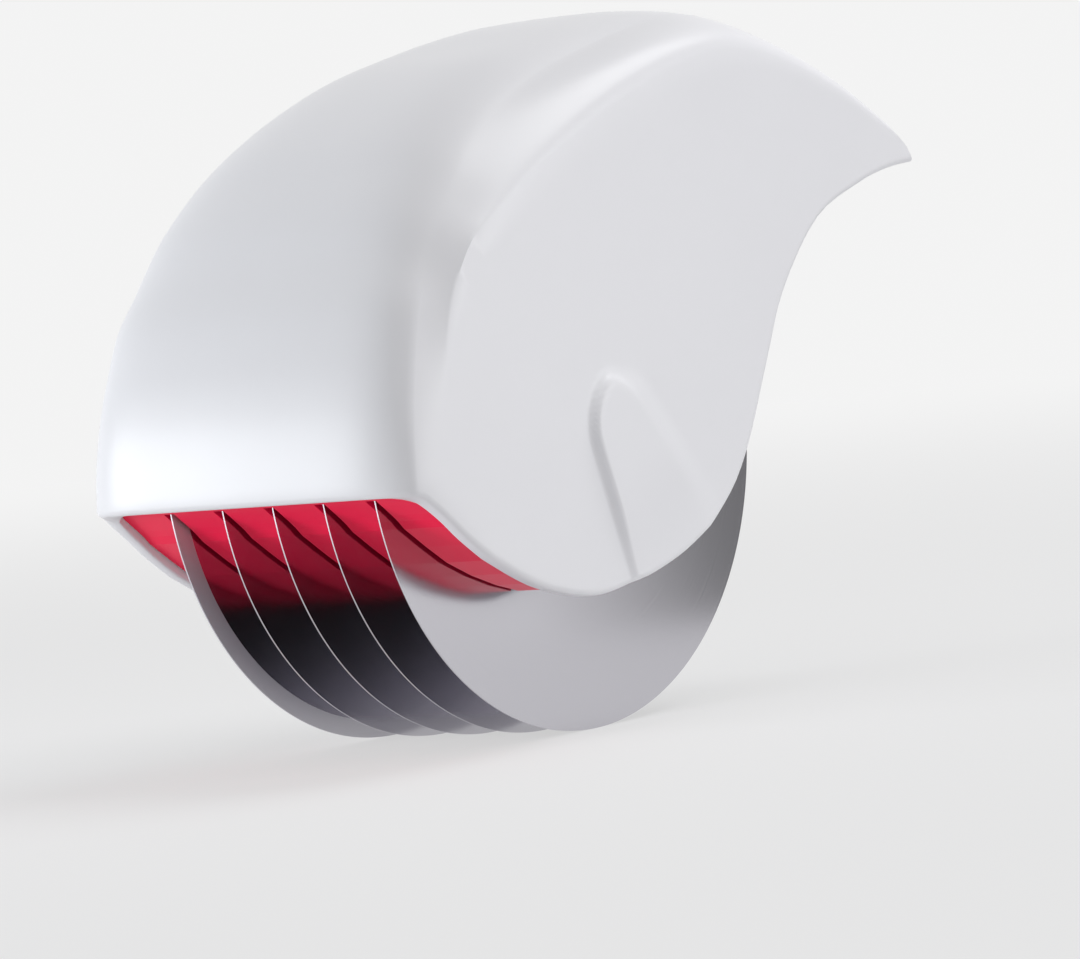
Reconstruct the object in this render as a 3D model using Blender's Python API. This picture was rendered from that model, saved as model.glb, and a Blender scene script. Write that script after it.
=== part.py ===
"""Rolling herb cutter: five disc blades on one axle under a white palm hood, with a red comb between them.

Axes: X runs along the axle, +Y points from the front face to the beak, +Z is up, z = 0 is the board.
"""

import math

import bmesh
import bpy
from mathutils import Vector

MM = 0.001

# Blade discs, stamped from thin stainless sheet and ground on one side of the rim
BLADE_COUNT = 5
BLADE_RADIUS = 40.0 * MM
BLADE_THICKNESS = 0.6 * MM
BLADE_PITCH = 8.8 * MM
GRIND_WIDTH = 2.4 * MM
EDGE_THICKNESS = 0.12 * MM
BLADE_FACETS = 72

# Gaps: between clamped faces, between pushed-in pieces, round a journal and outside the rims
SEAT_GAP = 0.2 * MM
FIT_GAP = 0.3 * MM
JOURNAL_GAP = 0.15 * MM
RIM_CLEARANCE = 0.6 * MM
CUT_OVERRUN = 2.0 * MM
WELD_DISTANCE = 0.001 * MM

# Blade stack on the axle
AXLE_SQUARE = 6.0 * MM
JOURNAL_RADIUS = 2.9 * MM
JOURNAL_END_GAP = 0.4 * MM
JOURNAL_CHAMFER = 0.5 * MM
SPACER_RADIUS = 9.0 * MM
SPACER_WAIST_DEPTH = 1.4 * MM
SPACER_FLANGE = 1.4 * MM
COLLAR_NOSE_RADIUS = 5.6 * MM
COLLAR_FLANGE = 1.6 * MM
COLLAR_LENGTH = 5.8 * MM
RING_THICKNESS = 0.8 * MM
RING_RADIUS = 5.2 * MM
RING_TAB_COUNT = 3
RING_SLIT_WIDTH = 0.7 * MM
RING_SLIT_REACH = 4.2 * MM
ROUND_FACETS = 36

# Bearing bushes that push into the hood's channels
BUSH_RADIUS = 4.5 * MM
BUSH_FLANGE_RADIUS = 6.6 * MM
BUSH_FLANGE_THICKNESS = 1.0 * MM

# Hood: one moulded shell, open underneath from the front edge to the beak
WALL = 2.2 * MM
FRONT_ROOM = 1.8 * MM
BEAK_OVERHANG = 31.0 * MM
SHOULDER_ROOM = 8.2 * MM
CHEEK_DROP = 21.1 * MM
CREST_RISE = 9.5 * MM
FOLD_WIDTH = 8.8 * MM
FOLD_RISE = 5.0 * MM
LEAST_FOLD = 0.6 * MM
LIP_RADIUS = 1.1 * MM
LIP_FADE_ROWS = 4
SPINE_POWER = 4.0
BEAK_POWER = 2.8
ROWS_PER_SPAN = 2
SPINE_STEPS = 6
FOLD_STEPS = 4
HOLLOW_OVERRUN = 30.0 * MM

# Axle channels: a raised funnel on each cheek, hollow inside, that opens at the cheek's lower edge
CHANNEL_ANGLE = math.radians(-63.5)
CHANNEL_REACH = 19.0 * MM
PAD_RISE = 1.2 * MM
PAD_SKIN = 1.4 * MM
PAD_ROOT = 0.8 * MM
PAD_HEAD_RADIUS = 8.0 * MM
PAD_MOUTH_HALF = 11.5 * MM
PAD_BEVEL = 0.6 * MM
HEAD_STEPS = 16

# Comb: the red insert whose teeth lie between the blades
COMB_THICKNESS = 2.0 * MM
COMB_RECESS = 1.0 * MM
COMB_SLOT = 1.8 * MM
COMB_HEADER = 3.2 * MM
COMB_HEADER_HEIGHT = 5.0 * MM
TOOTH_END = 9.5 * MM
EAR_THICKNESS = 1.8 * MM
EAR_HEIGHT = 12.0 * MM
EAR_LENGTH = 22.0 * MM
PEG_RADIUS = 2.2 * MM
PEG_LENGTH = 1.2 * MM

# Lengths that follow from the ones above
FRONT_REACH = BLADE_RADIUS + FRONT_ROOM
BEAK_REACH = BLADE_RADIUS + BEAK_OVERHANG
SHOULDER_HEIGHT = BLADE_RADIUS + SHOULDER_ROOM
STACK_HALF = 0.5 * ((BLADE_COUNT - 1) * BLADE_PITCH + BLADE_THICKNESS)
COLLAR_START = STACK_HALF + SEAT_GAP
RING_START = COLLAR_START + COLLAR_LENGTH + SEAT_GAP
BUSH_START = RING_START + RING_THICKNESS + SEAT_GAP
BUSH_STEP = BUSH_START + BUSH_FLANGE_THICKNESS
CHEEK_INSIDE = BUSH_STEP + FIT_GAP
HALF_WIDTH = CHEEK_INSIDE + WALL
CHANNEL_FLOOR = HALF_WIDTH + PAD_RISE - PAD_SKIN
BUSH_END = CHANNEL_FLOOR - FIT_GAP
AXLE_END = BUSH_END - JOURNAL_END_GAP
CHANNEL_HEAD_RADIUS = BUSH_RADIUS + FIT_GAP
CHANNEL_MOUTH_HALF = PAD_MOUTH_HALF - PAD_HEAD_RADIUS + CHANNEL_HEAD_RADIUS
SLOT_RADIUS = BLADE_RADIUS + RIM_CLEARANCE
AXLE_Z = BLADE_RADIUS

# Side view of the hood's shoulder line, from the front corner over the top to the beak's tip.
# Each row: shares of the front or beak reach and of the drop or shoulder height, then shares of
# the crest rise, fold width and fold rise, and how far the fold has faded into one smooth crown.
SHOULDER_shares = (
    (-0.995, -0.332, 0.41, 0.15, 0.26, 0.00),
    (-1.000, -0.185, 0.42, 0.15, 0.26, 0.00),
    (-0.959, 0.100, 0.48, 0.18, 0.30, 0.00),
    (-0.914, 0.224, 0.56, 0.24, 0.36, 0.00),
    (-0.804, 0.394, 0.68, 0.47, 0.44, 0.00),
    (-0.672, 0.502, 0.85, 0.56, 0.62, 0.00),
    (-0.531, 0.608, 0.96, 0.65, 0.84, 0.00),
    (-0.395, 0.699, 0.99, 0.70, 0.96, 0.00),
    (-0.244, 0.776, 1.00, 0.82, 1.00, 0.00),
    (-0.060, 0.842, 0.99, 0.93, 1.00, 0.00),
    (0.130, 0.913, 0.91, 1.00, 0.96, 0.15),
    (0.290, 0.973, 0.83, 1.00, 0.80, 0.55),
    (0.444, 1.000, 0.77, 1.00, 0.64, 1.00),
    (0.599, 0.959, 0.60, 1.00, 0.52, 1.00),
    (0.779, 0.855, 0.46, 1.00, 0.42, 1.00),
    (0.918, 0.741, 0.32, 1.00, 0.24, 1.00),
    (1.000, 0.633, 0.13, 1.00, 0.10, 1.00),
)

# Side view of the cheek's free edge, from the beak's tip round the back and bottom to the front
EDGE_shares = (
    (1.000, 0.633),
    (0.893, 0.598),
    (0.792, 0.571),
    (0.668, 0.496),
    (0.570, 0.365),
    (0.506, 0.249),
    (0.458, 0.114),
    (0.363, -0.289),
    (0.276, -0.602),
    (0.161, -0.806),
    (0.025, -0.943),
    (-0.227, -1.014),
    (-0.445, -0.924),
    (-0.675, -0.725),
    (-0.847, -0.488),
    (-0.988, -0.341),
)

# Side view of the trim that lifts the front's lower edge and curves down into each cheek's edge
TRIM_shares = (
    (-0.842, -0.509),
    (-0.888, -0.415),
    (-0.933, -0.341),
    (-0.971, -0.282),
    (-1.010, -0.225),
    (-1.048, -0.209),
    (-1.172, -0.209),
)

# Side view of the ear's free outline, as shares of the ear's length and height from its front foot
EAR_shares = ((0.10, 1.00), (0.45, 1.00), (0.80, 0.10), (1.30, -0.80))
# The peg's place on the ear, in the same shares
PEG_shares = (0.48, 0.15)


def clear_scene():
    for obj in list(bpy.data.objects):
        bpy.data.objects.remove(obj, do_unlink=True)


def material(name, colour, roughness, metallic=0.0):
    made = bpy.data.materials.new(name)
    made.use_nodes = True
    shader = made.node_tree.nodes["Principled BSDF"]
    shader.inputs["Base Color"].default_value = (*colour, 1.0)
    shader.inputs["Roughness"].default_value = roughness
    shader.inputs["Metallic"].default_value = metallic
    return made


def object_from(bm, name, finish=None):
    """Turns a bmesh into a scene object with outward faces and smooth round sides."""
    bmesh.ops.recalc_face_normals(bm, faces=bm.faces)
    mesh = bpy.data.meshes.new(name)
    bm.to_mesh(mesh)
    bm.free()
    mesh.shade_smooth()
    mesh.set_sharp_from_angle(angle=math.radians(35))
    obj = bpy.data.objects.new(name, mesh)
    bpy.context.scene.collection.objects.link(obj)
    if finish:
        mesh.materials.append(finish)
    return obj


def combine(obj, tool, operation="DIFFERENCE"):
    """Joins or cuts an object with a tool that stays out of the render."""
    tool.hide_render = True
    tool.display_type = "WIRE"
    modifier = obj.modifiers.new(tool.name, "BOOLEAN")
    modifier.operation = operation
    modifier.solver = "EXACT"
    modifier.object = tool


# Side curves


def smooth_point(before, start, end, after, t):
    """A point and its tangent on one span of a Catmull-Rom curve."""
    leave = (end - before) * 0.5
    arrive = (after - start) * 0.5
    point = (
        start * (2.0 * t**3 - 3.0 * t**2 + 1.0)
        + leave * (t**3 - 2.0 * t**2 + t)
        + end * (3.0 * t**2 - 2.0 * t**3)
        + arrive * (t**3 - t**2)
    )
    tangent = (
        start * (6.0 * t**2 - 6.0 * t)
        + leave * (3.0 * t**2 - 4.0 * t + 1.0)
        + end * (6.0 * t - 6.0 * t**2)
        + arrive * (3.0 * t**2 - 2.0 * t)
    )
    return point, tangent


def side_curve(shares):
    """A smooth side view: points from the axle, their outward normals, and any further values."""
    rows = []
    for y_share, z_share, *values in shares:
        y = y_share * (BEAK_REACH if y_share > 0.0 else FRONT_REACH)
        z = z_share * (SHOULDER_HEIGHT if z_share > 0.0 else CHEEK_DROP)
        rows.append(Vector((y, z, *values)))
    padded = [rows[0], *rows, rows[-1]]
    sampled = []
    for span in range(len(rows) - 1):
        knots = padded[span : span + 4]
        sampled += [smooth_point(*knots, step / ROWS_PER_SPAN) for step in range(ROWS_PER_SPAN)]
    sampled.append(smooth_point(*knots, 1.0))
    curve = []
    for point, tangent in sampled:
        along = Vector(tangent[:2]).normalized()
        curve.append((Vector(point[:2]), Vector((-along.y, along.x)), tuple(point[2:])))
    return curve


SHOULDER_LINE = side_curve(SHOULDER_shares)
FREE_EDGE = side_curve(EDGE_shares)
CREST_Y = [base.x + normal.x * CREST_RISE * values[0] for base, normal, values in SHOULDER_LINE]
FRONT_FACE_Y = min(CREST_Y)
FRONT_EDGE_Z = TRIM_shares[-1][1] * CHEEK_DROP
AXLE_Y = -0.5 * (FRONT_FACE_Y + max(CREST_Y))


def place(point):
    """A side-view point, measured from the axle, as world y and z."""
    return AXLE_Y + point[0], AXLE_Z + point[1]


# Solids


def turned(name, outline, finish=None, facets=ROUND_FACETS):
    """Spins an (x, radius) outline about the axle line."""
    bm = bmesh.new()
    verts = [bm.verts.new((x, 0.0, radius)) for x, radius in outline]
    edges = [bm.edges.new(pair) for pair in zip(verts, verts[1:])]
    if min(radius for _, radius in outline) > 0.0:
        edges.append(bm.edges.new((verts[-1], verts[0])))
    bmesh.ops.spin(
        bm,
        geom=verts + edges,
        cent=(0.0, 0.0, 0.0),
        axis=(1.0, 0.0, 0.0),
        angle=math.tau,
        steps=facets,
        use_merge=True,
    )
    bmesh.ops.remove_doubles(bm, verts=bm.verts, dist=WELD_DISTANCE)
    obj = object_from(bm, name, finish)
    obj.location = (0.0, AXLE_Y, AXLE_Z)
    return obj


def square_bar(name, side, x_from, x_to):
    """A square bar along the axle line."""
    bm = bmesh.new()
    bmesh.ops.create_cube(bm, size=1.0)
    bmesh.ops.scale(bm, vec=(x_to - x_from, side, side), verts=bm.verts)
    bmesh.ops.translate(bm, vec=(0.5 * (x_from + x_to), 0.0, 0.0), verts=bm.verts)
    obj = object_from(bm, name)
    obj.location = (0.0, AXLE_Y, AXLE_Z)
    return obj


def prism(name, outline, x_from, x_to, finish=None):
    """Extrudes a side-view outline, measured from the axle, from x_from to x_to."""
    bm = bmesh.new()
    face = bm.faces.new([bm.verts.new((x_from, *place(point))) for point in outline])
    swept = bmesh.ops.extrude_face_region(bm, geom=[face])
    moved = [item for item in swept["geom"] if isinstance(item, bmesh.types.BMVert)]
    bmesh.ops.translate(bm, vec=(x_to - x_from, 0.0, 0.0), verts=moved)
    return object_from(bm, name, finish)


def loft(name, rows, finish=None):
    """Skins a ring of equal rows that run from cheek to cheek, and closes both cheeks."""
    bm = bmesh.new()
    grid = [[bm.verts.new(point) for point in row] for row in rows]
    for row, following in zip(grid, grid[1:] + grid[:1]):
        for column in range(len(row) - 1):
            bm.faces.new((row[column], row[column + 1], following[column + 1], following[column]))
    for column in (0, -1):
        bm.faces.new([row[column] for row in grid])
    return object_from(bm, name, finish)


def square_hole(obj):
    """Cuts the square hole that the axle drives."""
    reach = HALF_WIDTH + CUT_OVERRUN
    combine(obj, square_bar(f"{obj.name}_hole", AXLE_SQUARE + 2.0 * SEAT_GAP, -reach, reach))


# Hood


def crown_section(values, inset):
    """The skin across the hood at one row: (x, height over the shoulder line), middle outwards."""
    crest_share, width_share, rise_share, faded = values
    half = HALF_WIDTH - inset
    fold = max(FOLD_WIDTH * width_share - inset, LEAST_FOLD)
    crest = CREST_RISE * crest_share
    rise = min(FOLD_RISE * rise_share, crest)
    valley = half - fold
    folded = []
    for step in range(SPINE_STEPS):
        x = valley * (1.0 - (1.0 - step / SPINE_STEPS) ** 1.5)
        folded.append((x, rise + (crest - rise) * (1.0 - (x / valley) ** SPINE_POWER)))
    for step in range(FOLD_STEPS + 1):
        turn = 0.5 * math.pi * step / FOLD_STEPS
        folded.append((valley + fold * math.sin(turn), rise * math.cos(turn)))
    section = []
    for x, height in folded:
        crown = crest * math.sqrt(max(0.0, 1.0 - (x / half) ** BEAK_POWER))
        section.append((x, height + (crown - height) * faded))
    return section


def lip_section(fade):
    """The free edge across the hood: straight, then rounded into each cheek."""
    inner = HALF_WIDTH - LIP_RADIUS
    section = [(inner * step / SPINE_STEPS, 0.0) for step in range(SPINE_STEPS)]
    for step in range(FOLD_STEPS + 1):
        turn = 0.5 * math.pi * step / FOLD_STEPS
        height = LIP_RADIUS * fade * (math.cos(turn) - 1.0)
        section.append((inner + LIP_RADIUS * math.sin(turn), height))
    return section


def across(base, normal, section):
    """One row of points from the left cheek over the middle to the right cheek."""
    mirrored = [(-x, height) for x, height in reversed(section[1:])]
    return [(x, *place(base + normal * height)) for x, height in mirrored + section]


def hood_crown(inset):
    """The rows of the front, top and beak, moved inwards by the inset."""
    return [
        (base - normal * inset, normal, crown_section(values, inset))
        for base, normal, values in SHOULDER_LINE
    ]


def hood_solid():
    """The hood's outer form as one closed body."""
    rows = [across(*row) for row in hood_crown(0.0)]
    edge = FREE_EDGE[1:]
    for index, (base, normal, _) in enumerate(edge):
        fade = min(1.0, index / LIP_FADE_ROWS, (len(edge) - 1 - index) / LIP_FADE_ROWS)
        rows.append(across(base, normal, lip_section(fade)))
    return loft("hood_shell", rows, WHITE)


def hood_inside(name, inset):
    """The space inside the hood at an inset from its skin, run out past the open underside."""
    crown = hood_crown(inset)
    tip, tip_normal, tip_section = crown[-1]
    front, front_normal, front_section = crown[0]
    past_beak = tip + Vector((tip_normal.y, -tip_normal.x)) * HOLLOW_OVERRUN
    floor = -AXLE_Z - HOLLOW_OVERRUN
    flat = [(x, 0.0) for x, _ in tip_section]
    crown.append((past_beak, tip_normal, tip_section))
    crown.append((Vector((past_beak.x, floor)), tip_normal, flat))
    crown.append((Vector((front.x, floor)), front_normal, front_section))
    return loft(name, [across(*row) for row in crown])


def funnel(name, head_radius, mouth_half, x_from, x_to):
    """A channel's form: a round head about the axle that widens towards the open edge."""
    along = Vector((math.cos(CHANNEL_ANGLE), math.sin(CHANNEL_ANGLE)))
    aside = Vector((-along.y, along.x))
    flare = math.atan((mouth_half - head_radius) / CHANNEL_REACH)
    outline = []
    for step in range(HEAD_STEPS + 1):
        turn = 0.5 * math.pi - flare + (math.pi + 2.0 * flare) * step / HEAD_STEPS
        outline.append((along * math.cos(turn) + aside * math.sin(turn)) * head_radius)
    reach = CHANNEL_REACH + CHEEK_DROP
    half = head_radius + (mouth_half - head_radius) * reach / CHANNEL_REACH
    outline.append(along * reach - aside * half)
    outline.append(along * reach + aside * half)
    return prism(name, outline, x_from, x_to)


def soften_face(obj, x_face, radius):
    """Rounds the rim of the flat end that lies at x_face."""
    bm = bmesh.new()
    bm.from_mesh(obj.data)
    rim = [e for e in bm.edges if all(abs(v.co.x - x_face) < WELD_DISTANCE for v in e.verts)]
    bmesh.ops.bevel(
        bm, geom=rim, offset=radius, segments=2, profile=0.5, affect="EDGES", material=-1
    )
    bm.to_mesh(obj.data)
    bm.free()


def cheek_outline(inset):
    """The cheek's side view, drawn in from its free edge."""
    shoulder = [base - normal * inset for base, normal, _ in SHOULDER_LINE[1:-1]]
    return shoulder + [base - normal * inset for base, normal, _ in FREE_EDGE[1:-1]]


def front_trim():
    """The cutter that gives the front its level lower edge and the cheeks their rounded corners."""
    curve = [base for base, _, _ in side_curve(TRIM_shares)]
    below = [Vector((base.x, -AXLE_Z)) for base in (curve[-1], curve[0])]
    reach = HALF_WIDTH + CUT_OVERRUN
    return prism("front_trim", curve + below, -reach, reach)


def add_channel(hood, side, tag):
    """Raises the funnel on one cheek, trims it at the free edge, and hollows it from inside."""
    face = side * (HALF_WIDTH + PAD_RISE)
    pad = funnel(f"pad_{tag}", PAD_HEAD_RADIUS, PAD_MOUTH_HALF, side * (HALF_WIDTH - PAD_ROOT), face)
    soften_face(pad, face, PAD_BEVEL)
    trim_from = side * (HALF_WIDTH - 2.0 * PAD_ROOT)
    trim_to = side * (HALF_WIDTH + 2.0 * PAD_RISE)
    combine(pad, prism(f"pad_trim_{tag}", cheek_outline(LIP_RADIUS), trim_from, trim_to), "INTERSECT")
    combine(hood, pad, "UNION")


def build_hood():
    """White shell: lofted skin and cheeks, raised channels, hollowed from below."""
    hood = hood_solid()
    for side, tag in ((-1, "left"), (1, "right")):
        add_channel(hood, side, tag)
    combine(hood, hood_inside("hood_hollow", WALL))
    combine(hood, front_trim())
    for side, tag in ((-1, "left"), (1, "right")):
        start = side * (CHEEK_INSIDE - CUT_OVERRUN)
        slot = funnel(
            f"channel_{tag}", CHANNEL_HEAD_RADIUS, CHANNEL_MOUTH_HALF, start, side * CHANNEL_FLOOR
        )
        combine(hood, slot)
        depth = side * (CHEEK_INSIDE + PEG_LENGTH + FIT_GAP)
        combine(hood, peg(f"peg_hole_{tag}", PEG_RADIUS + FIT_GAP, start, depth))
    return hood


# Comb


def ear_point(shares):
    foot = Vector((FRONT_FACE_Y + WALL, FRONT_EDGE_Z))
    return foot + Vector((EAR_LENGTH * shares[0], EAR_HEIGHT * shares[1]))


def peg(name, radius, x_from, x_to):
    """A round peg on the comb's ear, or the blind hole that it snaps into."""
    centre = ear_point(PEG_shares)
    outline = []
    for step in range(HEAD_STEPS):
        turn = math.tau * step / HEAD_STEPS
        outline.append(centre + Vector((math.cos(turn), math.sin(turn))) * radius)
    return prism(name, outline, x_from, x_to)


def comb_edge():
    """The comb's lower side: the cheek's free edge, then the rounded corner and the front's level edge."""
    corner = [row for row in side_curve(TRIM_shares) if row[0].x > FRONT_FACE_Y]
    cheek = [row for row in FREE_EDGE if corner[0][0].x < row[0].x < -TOOTH_END and row[0].y < 0.0]
    return [(base, normal) for base, normal, _ in cheek + corner[1:]]


def build_comb():
    """Red comb: a curved plate along the hood's lower edge, slotted for the blades, with two ears."""
    lower = comb_edge()
    outside = [base - normal * COMB_RECESS for base, normal in lower]
    inside = [base - normal * (COMB_RECESS + COMB_THICKNESS) for base, normal in lower]
    header_back = FRONT_FACE_Y + WALL + COMB_HEADER
    inside = [point for point in inside if point.x > header_back]
    header_top = FRONT_EDGE_Z + COMB_HEADER_HEIGHT
    front = FRONT_FACE_Y
    header = [
        Vector((front, FRONT_EDGE_Z + COMB_RECESS)),
        Vector((front, header_top)),
        Vector((header_back, header_top)),
    ]
    plate = outside + header + inside[::-1]
    comb = prism("stripper_comb", plate, -HALF_WIDTH, HALF_WIDTH, RED)
    ear = [header[0], *(ear_point(shares) for shares in EAR_shares), *outside]
    for side, tag in ((-1, "left"), (1, "right")):
        ear_face = CHEEK_INSIDE - FIT_GAP - EAR_THICKNESS
        combine(comb, prism(f"ear_{tag}", ear, side * ear_face, side * HALF_WIDTH), "UNION")
    combine(comb, hood_inside("comb_fit", WALL + FIT_GAP), "INTERSECT")
    for index in range(BLADE_COUNT):
        combine(comb, turned(f"comb_slot_{index + 1}", slot_outline(index), None, BLADE_FACETS))
    for side, tag in ((-1, "left"), (1, "right")):
        root = side * (CHEEK_INSIDE - FIT_GAP - 0.5 * EAR_THICKNESS)
        stub = peg(f"peg_{tag}", PEG_RADIUS, root, side * (CHEEK_INSIDE + PEG_LENGTH))
        combine(comb, stub, "UNION")
    return comb


def blade_x(index):
    return (index - 0.5 * (BLADE_COUNT - 1)) * BLADE_PITCH


def slot_outline(index):
    """The disc-shaped space that one blade needs in the comb."""
    low = blade_x(index) - 0.5 * COMB_SLOT
    high = blade_x(index) + 0.5 * COMB_SLOT
    return [(low, 0.0), (low, SLOT_RADIUS), (high, SLOT_RADIUS), (high, 0.0)]


# Blade stack


def build_blade(index):
    """A steel disc, ground on its inner side at the left end and on its left side elsewhere."""
    x = blade_x(index)
    grind_side = 1 if index == 0 else -1
    flat = x - 0.5 * grind_side * BLADE_THICKNESS
    ground = x + 0.5 * grind_side * BLADE_THICKNESS
    outline = [
        (flat, 0.0),
        (flat, BLADE_RADIUS),
        (flat + grind_side * EDGE_THICKNESS, BLADE_RADIUS),
        (ground, BLADE_RADIUS - GRIND_WIDTH),
        (ground, 0.0),
    ]
    blade = turned(f"disc_blade_{index + 1}", outline, STEEL, BLADE_FACETS)
    square_hole(blade)
    return blade


def build_spacer(index):
    """A waisted roller that keeps two blades apart."""
    low = blade_x(index) + 0.5 * BLADE_THICKNESS + SEAT_GAP
    high = blade_x(index + 1) - 0.5 * BLADE_THICKNESS - SEAT_GAP
    waist = SPACER_RADIUS - SPACER_WAIST_DEPTH
    outline = [
        (low, 0.0),
        (low, SPACER_RADIUS),
        (low + SPACER_FLANGE, SPACER_RADIUS),
        (low + SPACER_FLANGE + SPACER_WAIST_DEPTH, waist),
        (high - SPACER_FLANGE - SPACER_WAIST_DEPTH, waist),
        (high - SPACER_FLANGE, SPACER_RADIUS),
        (high, SPACER_RADIUS),
        (high, 0.0),
    ]
    spacer = turned(f"spacer_{index + 1}", outline, NATURAL)
    square_hole(spacer)
    return spacer


def build_collar(side, tag):
    """The end collar that clamps the stack: a flange against the blade and a tapered nose."""
    start = COLLAR_START
    end = COLLAR_START + COLLAR_LENGTH
    outline = [
        (side * start, 0.0),
        (side * start, SPACER_RADIUS),
        (side * (start + COLLAR_FLANGE), SPACER_RADIUS),
        (side * end, COLLAR_NOSE_RADIUS),
        (side * end, 0.0),
    ]
    collar = turned(f"end_collar_{tag}", outline, NATURAL)
    square_hole(collar)
    return collar


def build_ring(side, tag):
    """The push-on steel ring that holds the stack together on the axle's journal."""
    bore = JOURNAL_RADIUS + JOURNAL_GAP
    start = side * RING_START
    end = side * (RING_START + RING_THICKNESS)
    outline = [(start, bore), (start, RING_RADIUS), (end, RING_RADIUS), (end, bore)]
    ring = turned(f"push_ring_{tag}", outline, STEEL)
    for tab in range(RING_TAB_COUNT):
        bm = bmesh.new()
        bmesh.ops.create_cube(bm, size=1.0)
        size = (RING_THICKNESS + 2.0 * CUT_OVERRUN, RING_SLIT_WIDTH, RING_SLIT_REACH)
        bmesh.ops.scale(bm, vec=size, verts=bm.verts)
        middle = (0.5 * (start + end), 0.0, 0.5 * RING_SLIT_REACH)
        bmesh.ops.translate(bm, vec=middle, verts=bm.verts)
        slit = object_from(bm, f"ring_slit_{tag}_{tab + 1}")
        slit.location = (0.0, AXLE_Y, AXLE_Z)
        slit.rotation_euler.x = math.tau * tab / RING_TAB_COUNT
        combine(ring, slit)
    return ring


def build_bush(side, tag):
    """The bearing bush: a flange against the cheek and a boss that pushes into its channel."""
    bore = JOURNAL_RADIUS + JOURNAL_GAP
    outline = [
        (side * BUSH_START, bore),
        (side * BUSH_START, BUSH_FLANGE_RADIUS),
        (side * BUSH_STEP, BUSH_FLANGE_RADIUS),
        (side * BUSH_STEP, BUSH_RADIUS),
        (side * BUSH_END, BUSH_RADIUS),
        (side * BUSH_END, bore),
    ]
    return turned(f"bearing_bush_{tag}", outline, NATURAL)


def build_axle():
    """The moulded axle: square through the stack, with a round journal at each end."""
    square_end = COLLAR_START + COLLAR_LENGTH
    outline = [
        (-AXLE_END, 0.0),
        (-AXLE_END, JOURNAL_RADIUS - JOURNAL_CHAMFER),
        (JOURNAL_CHAMFER - AXLE_END, JOURNAL_RADIUS),
        (AXLE_END - JOURNAL_CHAMFER, JOURNAL_RADIUS),
        (AXLE_END, JOURNAL_RADIUS - JOURNAL_CHAMFER),
        (AXLE_END, 0.0),
    ]
    axle = turned("axle", outline, NATURAL)
    combine(axle, square_bar("axle_square", AXLE_SQUARE, -square_end, square_end), "UNION")
    return axle


clear_scene()
WHITE = material("white_moulded_plastic", (0.86, 0.86, 0.88), 0.28)
RED = material("red_moulded_plastic", (0.72, 0.01, 0.07), 0.30)
NATURAL = material("natural_bearing_plastic", (0.80, 0.80, 0.78), 0.40)
STEEL = material("polished_stainless_steel", (0.72, 0.72, 0.75), 0.12, 1.0)

build_hood()
build_comb()
build_axle()
for number in range(BLADE_COUNT):
    build_blade(number)
for number in range(BLADE_COUNT - 1):
    build_spacer(number)
for direction, side_name in ((-1, "left"), (1, "right")):
    build_collar(direction, side_name)
    build_ring(direction, side_name)
    build_bush(direction, side_name)
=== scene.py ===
"""Rolling herb cutter with five disc blades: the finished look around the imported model."""

import math

import bmesh
import bpy
from mathutils import Matrix, Vector


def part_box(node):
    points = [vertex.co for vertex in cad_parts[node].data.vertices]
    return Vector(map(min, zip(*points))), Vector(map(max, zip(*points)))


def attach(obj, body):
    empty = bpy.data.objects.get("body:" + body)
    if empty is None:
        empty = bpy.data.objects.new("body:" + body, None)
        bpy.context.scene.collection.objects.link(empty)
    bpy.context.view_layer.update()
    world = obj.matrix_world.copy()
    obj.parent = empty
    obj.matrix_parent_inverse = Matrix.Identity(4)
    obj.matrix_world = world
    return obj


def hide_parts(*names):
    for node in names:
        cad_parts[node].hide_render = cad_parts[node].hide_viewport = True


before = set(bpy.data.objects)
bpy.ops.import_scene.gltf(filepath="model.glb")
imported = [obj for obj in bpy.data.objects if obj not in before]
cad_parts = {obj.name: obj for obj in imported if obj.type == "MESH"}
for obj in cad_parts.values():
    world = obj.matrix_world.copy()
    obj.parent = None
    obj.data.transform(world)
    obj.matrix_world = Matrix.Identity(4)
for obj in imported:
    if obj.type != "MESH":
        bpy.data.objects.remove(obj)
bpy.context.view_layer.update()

# Camera
# The photograph shows the cutter from its right front, a little above the floor, through a long
# lens, with the cutter leaning to the left in the picture.
MM = 0.001
SENSOR_mm = 36.0
PICTURE_WIDTH = 1080.0
PICTURE_HEIGHT = 959.0
FOCAL_px = 6000.0
AXLE_CENTRE_px = (461.17, 437.82)
CAMERA_DISTANCE = 809.9 * MM
CAMERA_AZIMUTH = math.radians(39.34)
CAMERA_ELEVATION = math.radians(3.0)
CAMERA_ROLL = math.radians(-6.33)

axle_low, axle_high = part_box("axle")
AXLE = 0.5 * (axle_low + axle_high)


def camera_axes():
    """The camera's right, up and backward directions."""
    turn, lift = CAMERA_AZIMUTH, CAMERA_ELEVATION
    level = Vector((math.cos(turn), math.sin(turn), 0.0))
    outwards = Vector((math.sin(turn), -math.cos(turn), 0.0))
    back = outwards * math.cos(lift) + Vector((0.0, 0.0, math.sin(lift)))
    upward = back.cross(level)
    right = level * math.cos(CAMERA_ROLL) + upward * math.sin(CAMERA_ROLL)
    return right, back.cross(right), back


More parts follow.
